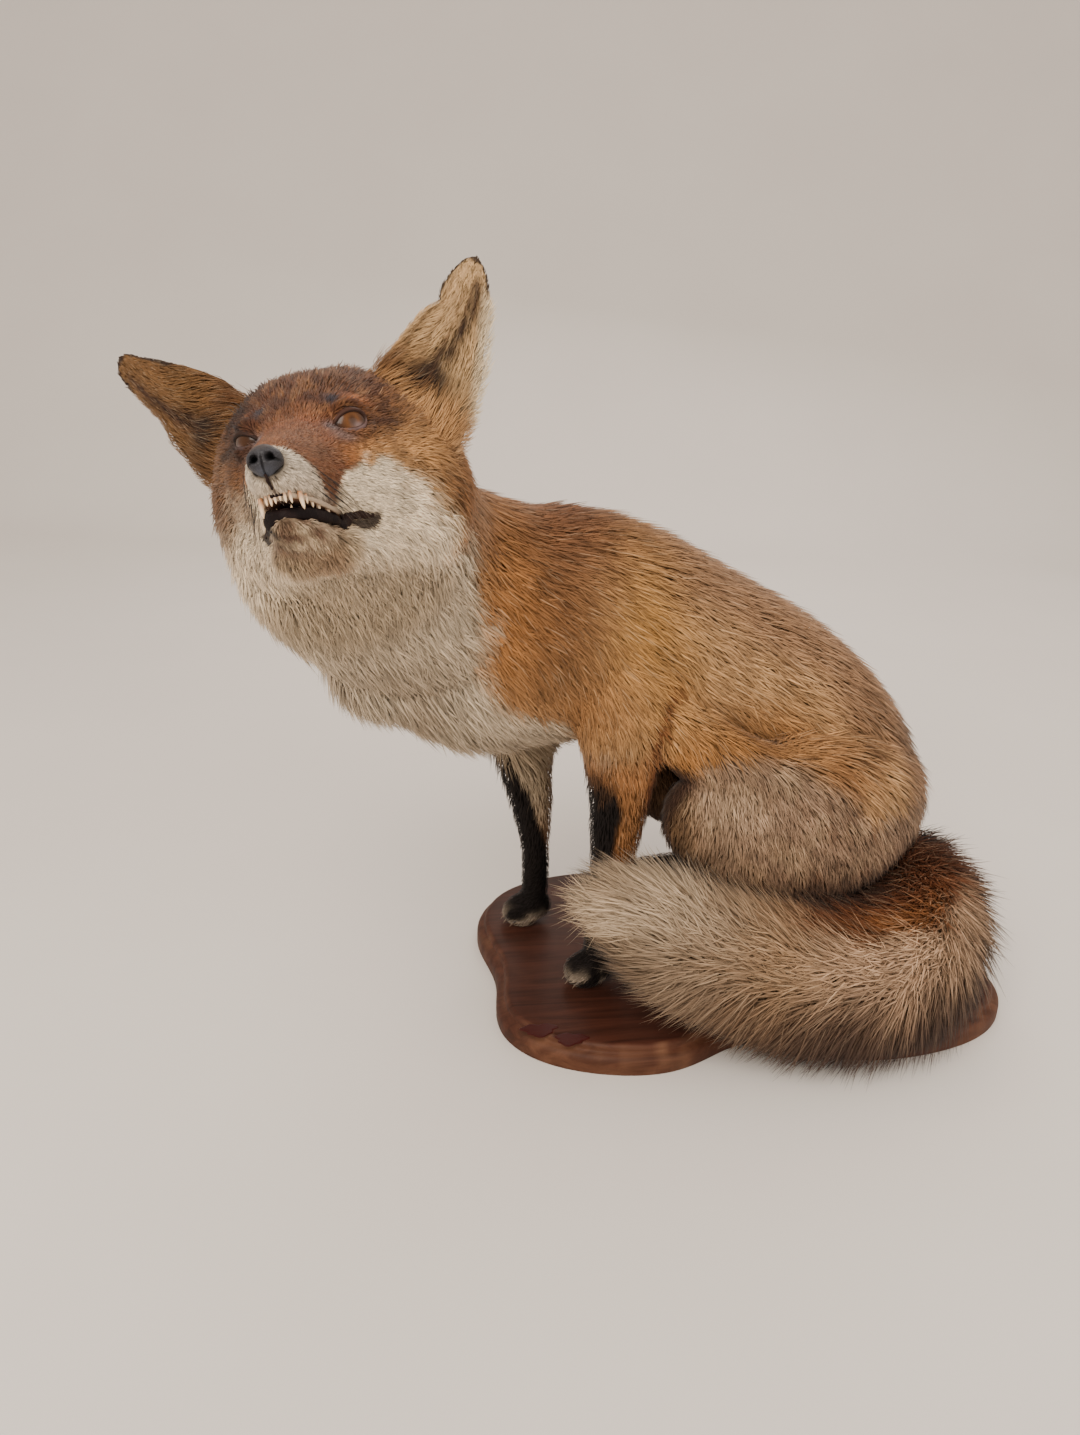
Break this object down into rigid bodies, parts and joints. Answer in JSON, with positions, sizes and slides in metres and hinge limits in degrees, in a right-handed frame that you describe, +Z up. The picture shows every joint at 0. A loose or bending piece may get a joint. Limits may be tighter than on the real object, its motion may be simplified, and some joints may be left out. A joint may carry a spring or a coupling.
{
  "type": "taxidermy red fox on a wooden base",
  "caption": "Life-size mounted red fox, seated with its head turned and lifted and its brush curled round the hind leg, on a varnished wooden base with a moulded edge.",
  "frame": {"origin": "on the floor, under the middle of the wooden base", "axes": "+Z up, +X along the base's long side toward the fox's rump, -Y toward the side the head looks to"},
  "size_m": [0.6235, 0.4422, 0.5322],
  "materials": {
    "varnished_wood": "dark reddish varnish",
    "red_coat": "fur, orange brown",
    "pale_coat": "fur, cream",
    "black_coat": "short fur, black",
    "eye": "polished glass, amber",
    "nose_leather": "matt, slate black"
  },
  "bodies": {
    "root": {"base_board": "varnished_wood", "trunk": "red_coat", "neck": "red_coat", "head": "red_coat", "lower_jaw": "pale_coat", "nose": "nose_leather", "eye_left": "eye", "eye_right": "eye", "ear_left": "red_coat", "ear_right": "red_coat", "foreleg_left": "red_coat", "foreleg_right": "red_coat", "forepaw_left": "black_coat", "forepaw_right": "black_coat", "hind_leg_left": "red_coat", "hind_leg_right": "red_coat", "hind_foot_left": "black_coat", "hind_foot_right": "black_coat", "tail_base": "red_coat", "tail_middle": "red_coat", "tail_tip": "pale_coat"}
  },
  "joints": []
}
